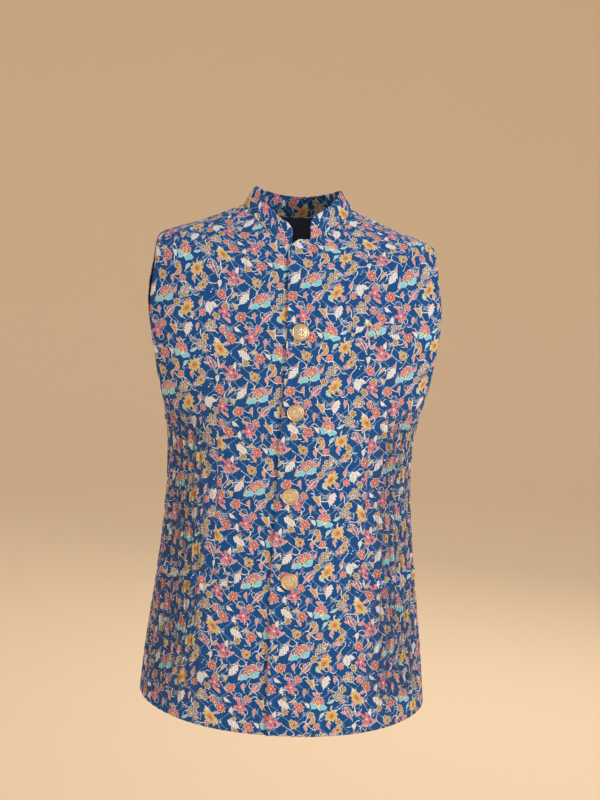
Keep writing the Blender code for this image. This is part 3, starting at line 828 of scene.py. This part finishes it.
printed, inside_navy = printed_cloth(), lining_cloth()
stations = panel_stations()
back_stop = side_stop(stations, "back")
half_shares = crowded(BACK_COLUMNS // 2, *BACK_CROWD)
share = close_at_ends(np.r_[(1.0 - half_shares[:0:-1]), 1.0 + half_shares] / 2.0) * 2.0 - 1.0
angle = math.pi + back_stop[:, None] * share
level = np.broadcast_to(stations[:, None], angle.shape)
form = form_point(angle, level)
middle_column = angle.shape[1] // 2
run = run_along(form)
across = run - run[:, middle_column, None]
to_side = np.minimum(run, run[:, -1:] - run)
outer, inner, _, crushed = panel_faces(
    angle, level, form, across, to_side, BACK_CREASES, BACK_FLANK, lift=0.0, detail=0.0
)
run = run_along(outer)
u = run - run[:, middle_column, None] + BACK_PRINT[0]
chest_row = int(np.searchsorted(stations, STATION["chest"]))
up = up_the_cut(form, cut_length(outer[..., 2], math.pi), chest_row)
back_cut = np.stack([u, up + BACK_PRINT[1]], axis=-1)
back = closed_cloth("back_panel", outer, inner, back_cut, (printed, inside_navy), crushed)
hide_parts("back")
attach(back, "root")

# ---------------------------------------------------------------------------------------------
# The two fronts, of the same cloth. Each is darted from under the chest to the hip pocket and
# sewn to the back at its side and shoulder. The left one laps over the right one to button.

BUTTON_LINE = ((-0.502, 0.0), (-0.384, -0.0028), (-0.269, 0.0), (-0.162, 0.0038), (-0.04, 0.0035))
LEFT_EDGE = (
    (-0.711, -0.0255),
    (-0.506, -0.0260),
    (-0.386, -0.0190),
    (-0.116, -0.0175),
    (-0.066, -0.0175),
    (-0.052, -0.0165),
    (-0.046, -0.0135),
    (-0.043, -0.0040),
)
RIGHT_EDGE = ((-0.711, 0.0200), (-0.071, 0.0200), (-0.058, 0.0120), (-0.0435, -0.0128))
LAP_LIFT = CLOTH + 0.0009  # the upper front's height over the lower one
LAP_FLAT, LAP_END = 0.034, 0.062  # it stands clear up to here, and lies in the form from here
# The lapped edge stands further off between two buttons: z of both, and share of the gape.
GAPE, GAPE_BREADTH = 0.0024, 0.0150
GAPES = (
    (-0.711, -0.502, 1.0),
    (-0.502, -0.384, 0.8),
    (-0.384, -0.269, 0.9),
    (-0.269, -0.162, 0.7),
    (-0.162, -0.050, 0.6),
)
DART = {"across": 0.105, "low": -0.505, "high": -0.250, "depth": 0.0011, "breadth": 0.0016, "take_in": 0.009}
FRONT_COLUMNS = 210
FRONT_CROWD = (0.36, 1.8)
FRONT_FLANK = (0.098, 0.144)
FRONT_PRINT = {1: (0.014, 0.040), -1: (0.083, 0.071)}
FRONT_CREASES = (
    (148, -300, 62, 9, 47, 5, -1.9),
    (134, -322, 54, 8, 56, 4, 1.2),
    (-146, -304, 66, 9, -49, -5, -1.9),
    (-128, -330, 50, 8, -58, -4, 1.1),
    (150, -402, 46, 7, 78, 4, -1.5),
    (-152, -412, 44, 7, -80, -3, -1.5),
    (158, -432, 40, 6, 99, 3, 1.1),
    (-150, -440, 38, 6, -98, 3, 1.0),
    (112, -372, 92, 11, 4, 3, -1.4),
    (-112, -382, 88, 11, -5, -3, -1.4),
    (70, -452, 74, 13, 12, 5, -0.9),
    (-66, -448, 80, 14, -11, -5, -0.9),
    (96, -172, 78, 15, -24, 6, -1.3),
    (-98, -178, 82, 15, 25, -6, -1.3),
    (118, -208, 60, 13, -40, 4, 0.9),
    (-116, -202, 62, 13, 38, -4, 0.9),
    (47, -96, 34, 7, 41, 4, -0.9),
    (-50, -92, 36, 7, -43, -4, -0.9),
    (78, -634, 86, 19, 3, 4, 1.6),
    (-76, -628, 92, 18, -4, -5, 1.7),
    (118, -640, 88, 15, -5, -4, -1.9),
    (-120, -636, 84, 16, 4, 5, -1.8),
    (46, -600, 94, 17, -4, -3, -1.1),
    (-44, -606, 90, 17, 5, 3, -1.1),
    (172, -560, 92, 9, -3, -4, -1.5),
    (-170, -566, 96, 9, 4, 4, -1.6),
    (151, -500, 62, 2.4, 89, 0, -0.9),
    (-141, -495, 62, 2.4, -89, 0, -0.9),
    (117, -149, 42, 2.2, 88, 0, -0.7),
    (30, -316, 34, 8, 62, 3, -0.6),
    (-36, -236, 36, 8, -60, -3, -0.6),
    (34, -436, 34, 8, 66, 3, -0.6),
    (-38, -552, 40, 9, -52, -3, -0.7),
)


def angle_of_x(x, station):
    """The angle at which a ring is x from the centre plane, on the front."""
    width, square = smooth_column(station, "half_width"), smooth_column(station, "square")
    return np.arcsin(np.sign(x) * np.clip(np.abs(x) / width, 0.0, 1.0) ** (square / 2.0))


def read_table(table, height):
    """The value of a (height, value) table at a height, in straight pieces."""
    heights, values = np.array(table).T
    return np.interp(height, heights, values)


def lap_lift(x):
    """How far the left front stands off the form at x, to lie on the right front."""
    return LAP_LIFT * smooth_step((LAP_END - x) / (LAP_END - LAP_FLAT))


def lap_gape(beside_edge, z):
    """How much further the lapped edge stands off: half a sine up from each button to the next,
    flattened, times a fade over the distance from the edge."""
    bows = np.zeros(z.shape)
    for low, high, share in GAPES:
        bows += share * np.sin(math.pi * np.clip((z - low) / (high - low), 0.0, 1.0)) ** 0.7
    fade = smooth_step(1.0 - beside_edge / GAPE_BREADTH)
    return GAPE * (0.35 + 0.65 * np.clip(bows, 0.0, 1.0)) * fade


def front(side, name):
    """A front, side 1 for the wearer's left: its closed cloth, its grid of outer points with
    their outward normals, the distance across from the centre line, and its flat cut."""
    height = smooth_column(stations, "z_front")
    edge = read_table(LEFT_EDGE if side > 0 else RIGHT_EDGE, height) + read_table(BUTTON_LINE, height)
    start, stop = angle_of_x(edge, stations), side * side_stop(stations, "front")
    share = close_at_ends(crowded(FRONT_COLUMNS, *FRONT_CROWD))
    angle = start[:, None] + (stop - start)[:, None] * share
    level = np.broadcast_to(stations[:, None], angle.shape)
    form = form_point(angle, level)
    z = form[..., 2]
    across = side * run_along(form) + edge[:, None]
    to_side, to_front = np.abs(across[:, -1:] - across), np.abs(across - across[:, :1])
    lift = lap_lift(form[..., 0]) + lap_gape(to_front, z) if side > 0 else 0.0
    share_up = np.clip((z - DART["low"]) / (DART["high"] - DART["low"]), 0.0, 1.0)
    from_dart = side * across - DART["across"]
    dart = DART["depth"] * np.sin(math.pi * share_up) ** 0.6 * bell(from_dart, DART["breadth"])
    detail = turned_edge_height(to_front) - dart
    outer, inner, normal, crushed = panel_faces(
        angle, level, form, across, to_side, FRONT_CREASES, FRONT_FLANK, lift, detail
    )
    taken = DART["take_in"] * np.sin(math.pi * share_up) * (from_dart > 0)
    u = side * (run_along(outer) + taken) + edge[:, None] + FRONT_PRINT[side][0]
    up = up_the_cut(form, cut_length(outer[..., 2], 0.0), chest_row)
    cut = np.stack([u, up + FRONT_PRINT[side][1]], axis=-1)
    piece = closed_cloth(name, outer, inner, cut, (printed, inside_navy), crushed, side)
    return piece, outer, normal, across, cut


fronts = {1: front(1, "front_panel_left"), -1: front(-1, "front_panel_right")}
for side, node in ((1, "front_left"), (-1, "front_right")):
    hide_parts(node)
    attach(fronts[side][0], "root")

# ---------------------------------------------------------------------------------------------
# The band collar: two layers of the same cloth over a stiffener, sewn on round the neckline. It
# stands 30 mm high and leans in a little, and its front corners are rounded.

COLLAR_CLOTH = 0.0024
COLLAR_HEIGHT = 0.0300
COLLAR_END = 0.0128  # each end stops this far from the button line
COLLAR_CORNER = 0.0135
COLLAR_LEAN = {"side": 0.0155, "front": 0.0060, "back": 0.0080}
COLLAR_LIFT = 0.0004  # it starts this far above the neckline
COLLAR_PRINT = (0.052, 0.087)
COLLAR_COLUMNS, COLLAR_LEVELS = 300, 22
COLLAR_CROWD = 0.07  # how strongly the columns crowd at the collar's ends
COLLAR_WAVES = ((0.00035, 0.071, 1.0), (0.0002, 0.029, 0.0))  # height, distance apart, shift
COLLAR_WAVES_IN = 0.02


def grid_normals(grid):
    """Unit normals of a grid: the cross product of its slopes along and up it."""
    normal = np.cross(np.gradient(grid, axis=1), np.gradient(grid, axis=0))
    return normal / np.linalg.norm(normal, axis=-1, keepdims=True)


middle = read_table(BUTTON_LINE, smooth_column(1.0, "z_front"))
first = float(angle_of_x(middle + COLLAR_END, 1.0))
last = 2 * math.pi + float(angle_of_x(middle - COLLAR_END, 1.0))
share = np.linspace(0.0, 1.0, COLLAR_COLUMNS + 1)
angle = first + (last - first) * (share - COLLAR_CROWD * np.sin(2 * math.pi * share))
turn = np.where(angle > math.pi, angle - 2 * math.pi, angle)
on_left_front = (turn > 0) & (turn < math.pi / 2)
base = form_point(turn, 1.0)
lift = np.where(on_left_front, lap_lift(base[:, 0]), 0.0)
base = base + form_normal(turn, np.ones_like(turn)) * lift[:, None]
round_it = np.r_[0.0, np.cumsum(np.linalg.norm(np.diff(base, axis=0), axis=1))]
from_end = np.minimum(round_it, round_it[-1] - round_it)
corner = np.clip(1.0 - from_end / COLLAR_CORNER, 0.0, 1.0)
ahead = np.where(np.cos(turn) > 0, COLLAR_LEAN["front"], COLLAR_LEAN["back"])
lean = ahead + (COLLAR_LEAN["side"] - ahead) * np.sin(turn) ** 2
rise = np.sqrt(COLLAR_HEIGHT**2 - lean**2)
top = rise - COLLAR_CORNER * (1.0 - np.sqrt(1.0 - corner**2))
inward = -np.stack([np.sin(turn), -np.cos(turn), np.zeros_like(turn)], axis=-1)
up = close_at_ends(np.linspace(0.0, 1.0, COLLAR_LEVELS + 1))[:, None] * top
grid = base + inward * ((up / rise) ** 1.2 * lean)[..., None]
grid[..., 2] += up + COLLAR_LIFT
out = grid_normals(grid)
waves = [high * np.sin(round_it * 2 * math.pi / apart + shift) for high, apart, shift in COLLAR_WAVES]
waved = sum(waves) * (up / COLLAR_HEIGHT) ** 2 * smooth_step(from_end / COLLAR_WAVES_IN)
edge = turned_edge_height(top - up) + turned_edge_height(from_end)[None] + turned_edge_height(up)
cut = np.stack([np.broadcast_to(round_it, up.shape) + COLLAR_PRINT[0], up + COLLAR_PRINT[1]], axis=-1)
collar = closed_cloth(
    "stand_collar",
    grid + out * (waved + edge)[..., None],
    grid + out * (waved - COLLAR_CLOTH)[..., None],
    cut,
    (printed, printed),
)
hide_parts("collar")
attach(collar, "root")
flat_size(cut)[:2]
flat_size(cut)[2]

# ---------------------------------------------------------------------------------------------
# The pocket welts: a strip of the same cloth, folded and pressed, sewn to a front by its lower
# edge and its ends. Its upper edge stands a little off the cloth, over the pocket's mouth.

WELT_CLOTH = 0.0012
WELT_LIFT = 0.0004
WELT_MOUTH = 0.0005  # how much further off the upper edge stands
WELT_CROWN = 0.0004
WELT_SPACING, WELT_LEVELS = 0.0014, 11
FIND_STEPS, FIND_SHARE = 14, 0.8
WELT_COLUMNS = ("side", "inner", "width", "height", "z", "rise", "print_start")
WELTS = {
    "chest_welt": (1, 0.073, 0.088, 0.0115, -0.1650, 0.0040, (0.061, 0.022)),
    "hip_welt_left": (1, 0.086, 0.130, 0.0150, -0.5170, 0.0010, (0.009, 0.063)),
    "hip_welt_right": (-1, 0.076, 0.130, 0.0150, -0.5130, 0.0010, (0.101, 0.034)),
}


def between(grid, row, column):
    """A grid read at fractional rows and columns, in straight pieces."""
    low_row = np.clip(row.astype(int), 0, grid.shape[0] - 2)
    low_column = np.clip(column.astype(int), 0, grid.shape[1] - 2)
    up, along = row - low_row, column - low_column
    if grid.ndim == 3:
        up, along = up[..., None], along[..., None]
    lower = grid[low_row, low_column] * (1 - along) + grid[low_row, low_column + 1] * along
    upper = grid[low_row + 1, low_column] * (1 - along) + grid[low_row + 1, low_column + 1] * along
    return lower * (1 - up) + upper * up


def find_on(across_grid, z_grid, across, z):
    """The fractional row and column of a panel at a distance across and a height: repeated
    steps, each a share of the miss divided by the grid's own slope there."""
    row = np.interp(z, z_grid[:, z_grid.shape[1] // 3], np.arange(z_grid.shape[0]))
    column = np.interp(across, across_grid[across_grid.shape[0] // 4], np.arange(z_grid.shape[1]))
    row, column = np.broadcast_arrays(row, column)
    slope_up, slope_along = np.gradient(z_grid, axis=0), np.gradient(across_grid, axis=1)
    for _ in range(FIND_STEPS):
        miss = z - between(z_grid, row, column)
        row = row + FIND_SHARE * miss / between(slope_up, row, column)
        row = np.clip(row, 0, z_grid.shape[0] - 1.001)
        miss = across - between(across_grid, row, column)
        column = column + FIND_SHARE * miss / between(slope_along, row, column)
        column = np.clip(column, 0, z_grid.shape[1] - 1.001)
    return row, column


def welt(name, side, inner, width, height, z, rise, print_start):
    """Points of the front itself, moved out along its normals and crowned a little."""
    _, outer, normal, across, _ = fronts[side]
    share = close_at_ends(np.linspace(0.0, 1.0, int(width / WELT_SPACING)))
    level = close_at_ends(np.linspace(0.0, 1.0, WELT_LEVELS))[:, None]
    wanted_z = z + rise * share + height * level
    wanted_across = np.broadcast_to(inner + width * share, wanted_z.shape)
    row, column = find_on(side * across, outer[..., 2], wanted_across, wanted_z)
    crown = WELT_CROWN * np.sin(math.pi * level) + WELT_MOUTH * level**3
    to_end = np.minimum(share, 1.0 - share) * width
    edge = turned_edge_height(to_end) + turned_edge_height(height * np.minimum(level, 1.0 - level))
    foot = between(outer, row, column)
    out = between(normal, row, column)
    face = foot + out * (WELT_LIFT + WELT_CLOTH + crown + edge)[..., None]
    hidden = foot + out * (WELT_LIFT + crown * 0.5)[..., None]
    cut = np.stack([side * wanted_across, wanted_z - z], axis=-1) + np.array(print_start)
    return closed_cloth(name, face, hidden, cut, (printed, printed), side=side), cut


for name, row in WELTS.items():
    strip, cut = welt(name + "_strip", **dict(zip(WELT_COLUMNS, row)))
    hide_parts(name)
    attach(strip, "root")
    flat_size(cut)[:2]
    flat_size(cut)[2]

width, length, area = flat_size(back_cut)
for piece, _, _, _, cut in fronts.values():
    width, length, area = flat_size(cut)

# ---------------------------------------------------------------------------------------------
# Four buttons of pale brass, pressed in relief: a roped rim, a ring of beads and a rosette of
# eight petals round a boss, on a shank that is sewn on. Their hollows are darker.

BUTTON_HEIGHTS = (-0.1620, -0.2685, -0.3840, -0.5020)
BUTTON_TURNS = (4.0, -17.0, 11.0, -6.0)  # each is sewn on turned a little, in degrees
BUTTON_RADIUS = 11.45  # millimetres, as are the button's other sizes: a 36 line button
FIELD_RADIUS = 9.55
RIM_TOP = 3.4
RIM_ROUND = (0.95, 0.85)  # half breadth and height of the rim's bow
RIM_ARC = (-0.42 * math.pi, 0.72 * math.pi)  # from its inner foot, over its top, to under it
DOME, DOME_FALL = 2.95, 0.55
SHANK_RADIUS, SHANK_SUNK = 2.6, 0.9
UNDER = (  # radius and height, from under the rim to the shank's end
    (10.4, 1.75),
    (7.2, 1.95),
    (3.8, 1.90),
    (SHANK_RADIUS, 1.50),
    (SHANK_RADIUS, 0.40),
    (SHANK_RADIUS, -SHANK_SUNK),
)
BRASS = ((0.910, 0.770, 0.530), (0.380, 0.255, 0.125))  # polished, and in the hollows
LAID_ON = 0.0004
PETALS, BEADS, ROPES = 8, 30, 44
ROUND_STEPS, FIELD_STEPS, RIM_STEPS = 120, 34, 14
HOLLOW_BELOW = 0.17  # relief lower than this is browned
RIM_HOLLOW = 0.35  # the rim's hollows are browned by this share


def button_relief(radius, turn):
    """Height of the relief: bells across circles, times waves round them."""
    petal = np.abs(np.cos(PETALS / 2 * turn)) ** 0.7 * bell(radius - 3.9, 1.8)
    boss = bell(radius, 1.3)
    bead = (0.5 + 0.5 * np.cos(BEADS * turn)) * bell(radius - 7.9, 0.62)
    ring = bell(radius - 6.5, 0.30)
    rope = np.cos(ROPES * turn + 3.0 * (radius - 10.5)) * bell(radius - 10.5, 0.60)
    return 0.38 * petal + 0.44 * boss + 0.30 * bead + 0.18 * ring + 0.12 * rope


def turned_points(radius, height, turn):
    """Points of a profile, its radii and its heights, turned round the upright axis."""
    radius, height, turn = np.broadcast_arrays(radius[:, None], height, turn)
    return np.stack([radius * np.cos(turn), radius * np.sin(turn), height], axis=-1).reshape(-1, 3)


def button_mesh():
    """A turned profile, from the middle of the face over the rim and under to the shank's end,
    with the relief added to its height on the face. It has one point at each pole."""
    field = np.linspace(0.25, FIELD_RADIUS, FIELD_STEPS)
    dome = DOME - DOME_FALL * (field / FIELD_RADIUS) ** 3
    bow = np.linspace(*RIM_ARC, RIM_STEPS)
    rim_radius = (FIELD_RADIUS + BUTTON_RADIUS) / 2 + RIM_ROUND[0] * np.sin(bow)
    rim_height = RIM_TOP - RIM_ROUND[1] + RIM_ROUND[1] * np.cos(bow)
    under_radius, under_height = np.array(UNDER).T
    radius = np.r_[field, rim_radius, under_radius]
    height = np.r_[dome, rim_height, under_height]
    on_face = np.r_[np.ones(len(field)), np.clip(np.cos(bow), 0.0, 1.0), np.zeros(len(UNDER))][:, None]
    turn = np.arange(ROUND_STEPS) * (2 * math.pi / ROUND_STEPS)
    relief = button_relief(radius[:, None], turn) * on_face
    poles = [(0.0, 0.0, dome[0] + float(button_relief(0.0, 0.0))), (0.0, 0.0, -SHANK_SUNK)]
    points = np.concatenate([turned_points(radius, height[:, None] + relief, turn), poles]) / 1000
    index = round_again(np.arange(relief.size).reshape(relief.shape))
    top, end = np.full(ROUND_STEPS, relief.size), np.full(ROUND_STEPS, relief.size + 1)
    fans = [[top, index[0, :-1], index[0, 1:]], [end, index[-1, 1:], index[-1, :-1]]]
    fans = np.stack(fans).transpose(0, 2, 1).reshape(-1, 3)
    mesh = bpy.data.meshes.new("button")
    mesh.from_pydata(points.tolist(), [], quads_of(index.T).tolist() + fans.tolist())
    hollow = np.clip((HOLLOW_BELOW - relief) / HOLLOW_BELOW, 0.0, 1.0) * on_face
    hollow[FIELD_STEPS:] *= RIM_HOLLOW
    values = np.r_[hollow.ravel(), 0.0, 0.0]
    mesh.attributes.new("hollow", "FLOAT", "POINT").data.foreach_set("value", values)
    mesh.shade_smooth()
    return mesh


def pale_brass():
    """Brass, lacquered pale: brown and rougher where the relief is hollow, finely mottled."""
    material, surface, start = new_material("pale_brass")
    hollow = start.node("ShaderNodeAttribute", {"attribute_name": "hollow"}, out=2)
    place = start.node("ShaderNodeTexCoord", None, None, out=3)
    mottle = start.node("ShaderNodeTexNoise", None, {"Vector": place, "Scale": 900.0, "Detail": 3.0})
    colour = (hollow * 0.75 + mottle * 0.2 - 0.05).over(*BRASS)
    bump = start.node("ShaderNodeBump", None, {"Strength": 0.15, "Distance": 0.0002, "Height": mottle})
    roughness = hollow * 0.2 + mottle * 0.12 + 0.26
    start.feed(surface, {"Base Color": colour, "Roughness": roughness, "Normal": bump, "Metallic": 1.0})
    return material


brass = pale_brass()
for number, (z, turn) in enumerate(zip(BUTTON_HEIGHTS, BUTTON_TURNS), start=1):
    fine = np.linspace(0.0, 1.0, 1201)
    station = float(np.interp(z, smooth_column(fine, "z_front"), fine))
    angle = angle_of_x(read_table(BUTTON_LINE, z), station)
    out = form_normal(angle, station)
    foot = form_point(angle, station) + out * (LAP_LIFT + LAID_ON)
    placed = Matrix.Translation(foot) @ Vector(out).to_track_quat("Z", "Y").to_matrix().to_4x4()
    mesh = button_mesh()
    mesh.transform(placed @ Matrix.Rotation(math.radians(turn), 4, "Z"))
    mesh.materials.append(brass)
    piece = add_object(f"brass_button_{number}", mesh)
    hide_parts(f"button_{number}")
    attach(piece, "root")

# ---------------------------------------------------------------------------------------------
# The setting: a plain pale floor that curves up into a round wall, soft light from large panels
# and from above, and the camera.

FLOOR_Z = -1.42
FLOOR_RADIUS, WALL_CURVE, WALL_TOP = 5.0, 2.5, 4.5
LIGHT_COLUMNS = ("place", "aim", "size", "power", "colour")
LIGHTS = {
    "key": ((2.2, -2.3, 0.6), (0.0, 0.0, -0.35), 1.0, 60.0, (1.0, 0.98, 0.98)),
    "fill": ((-2.2, -2.4, -0.6), (0.0, 0.0, -0.35), 1.8, 25.0, (1.0, 0.98, 0.97)),
    "back_light": ((0.9, 2.6, 0.9), (0.0, 0.0, -0.35), 1.6, 34.0, (1.0, 0.95, 0.88)),
    "top_light": ((0.0, 1.4, 3.4), (0.0, 0.0, -0.35), 4.0, 36.0, (1.0, 0.95, 0.88)),
    "wall_light": ((0.0, 2.6, 2.4), (0.0, 7.0, 0.6), 3.0, 26.0, (1.0, 0.94, 0.86)),
}
SKY = (0.92, 0.86, 0.78)
SKY_STRENGTH = 0.60
PLASTER = (0.80, 0.63, 0.45)
WALL_STEPS = 96
bend = np.linspace(0.0, math.pi / 2, 17)
radius = np.r_[0.01, FLOOR_RADIUS / 2, FLOOR_RADIUS + WALL_CURVE * np.sin(bend), FLOOR_RADIUS + WALL_CURVE]
height = np.r_[0.0, 0.0, WALL_CURVE * (1.0 - np.cos(bend)), WALL_TOP] + FLOOR_Z
turn = np.arange(WALL_STEPS) * (2 * math.pi / WALL_STEPS)
points = turned_points(radius, height[:, None], turn)
index = np.arange(len(points)).reshape(len(radius), WALL_STEPS)
quads = quads_of(round_again(index))[:, ::-1]
floor_mesh = bpy.data.meshes.new("floor_and_wall")
floor_mesh.from_pydata(points.tolist(), [], quads.tolist() + [index[0].tolist()])
floor_mesh.shade_smooth()
floor = add_object("floor_and_wall", floor_mesh)
pale, surface, start = new_material("pale_plaster")
start.feed(surface, {"Base Color": (*PLASTER, 1.0), "Roughness": 0.9})
floor_mesh.materials.append(pale)

world = bpy.data.worlds.new("studio")
bpy.context.scene.world = world
world.use_nodes = True
world.node_tree.nodes["Background"].inputs["Color"].default_value = (*SKY, 1.0)
world.node_tree.nodes["Background"].inputs["Strength"].default_value = SKY_STRENGTH

for name, row in LIGHTS.items():
    values = dict(zip(LIGHT_COLUMNS, row))
    data = bpy.data.lights.new(name, "AREA")
    data.size, data.energy, data.color = values["size"], values["power"], values["colour"]
    lamp = add_object(name, data)
    lamp.location = values["place"]
    lamp.rotation_euler = (Vector(values["aim"]) - lamp.location).to_track_quat("-Z", "Y").to_euler()

CAMERA_AZIMUTH, CAMERA_RISE, CAMERA_ROLL = math.radians(-2.9), math.radians(9.0), math.radians(2.0)
CAMERA_AWAY = 2.5
CAMERA_AIM = Vector((0.006, -0.12, -0.252))
SENSOR, FOCUS = 36.0, 83.66
data = bpy.data.cameras.new("camera")
data.sensor_width, data.lens = SENSOR, FOCUS
camera = add_object("camera", data)
bpy.context.scene.camera = camera
behind = Vector((
    math.sin(CAMERA_AZIMUTH) * math.cos(CAMERA_RISE),
    -math.cos(CAMERA_AZIMUTH) * math.cos(CAMERA_RISE),
    math.sin(CAMERA_RISE),
))
upright = behind.to_track_quat("Z", "Y").to_matrix().to_4x4()
placed = Matrix.Translation(CAMERA_AIM + behind * CAMERA_AWAY) @ upright
camera.matrix_world = placed @ Matrix.Rotation(CAMERA_ROLL, 4, "Z")
bpy.context.scene.view_settings.view_transform = "Standard"
